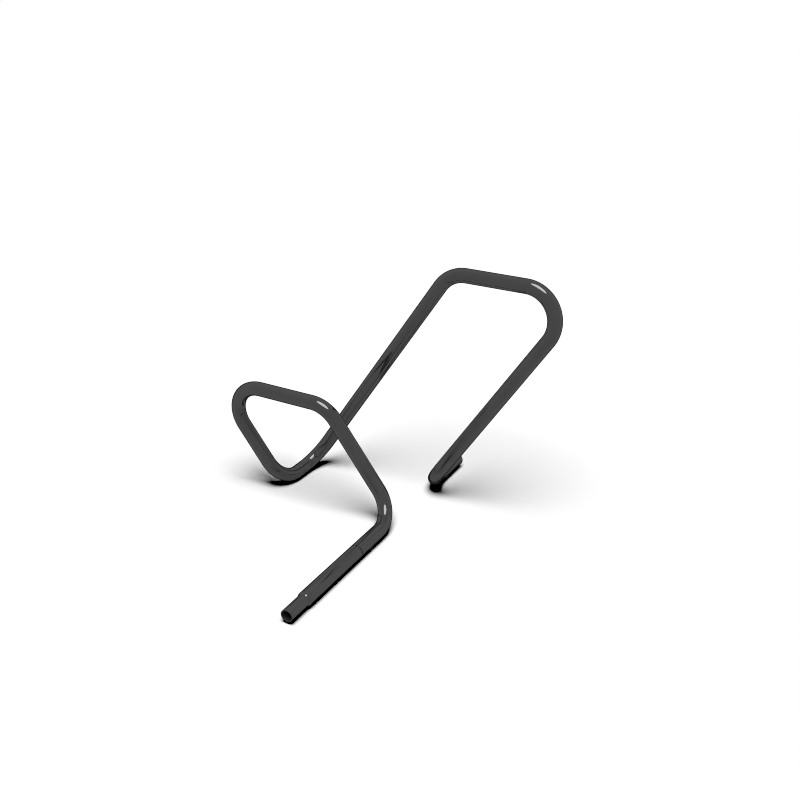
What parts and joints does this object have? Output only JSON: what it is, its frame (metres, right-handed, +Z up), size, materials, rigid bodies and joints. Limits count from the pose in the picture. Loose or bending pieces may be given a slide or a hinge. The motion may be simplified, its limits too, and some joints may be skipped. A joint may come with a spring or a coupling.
{
  "type": "bike rack",
  "caption": "Leaning bike rack unit: a low and a tall bent-tube loop on one ground tube, with a plug-in front end, a rear socket and drilled ground lugs.",
  "frame": {"origin": "on the ground at the middle of the unit's bounding box", "axes": "+Y along the row towards the open rear socket, +X towards the side of the long ground tubes, +Z up"},
  "size_m": [1.0589, 1.07, 0.814],
  "materials": {
    "grey_coat": "satin powder coat, dark grey",
    "zinc_steel": "galvanised steel"
  },
  "bodies": {
    "root": {"front_tube": "grey_coat", "joint_sleeve": "zinc_steel", "low_loop": "grey_coat", "loop_weld": "grey_coat", "tall_loop": "grey_coat", "front_lug": "grey_coat", "rear_lug": "grey_coat", "front_lug_weld": "grey_coat", "rear_lug_weld": "grey_coat"}
  },
  "joints": []
}
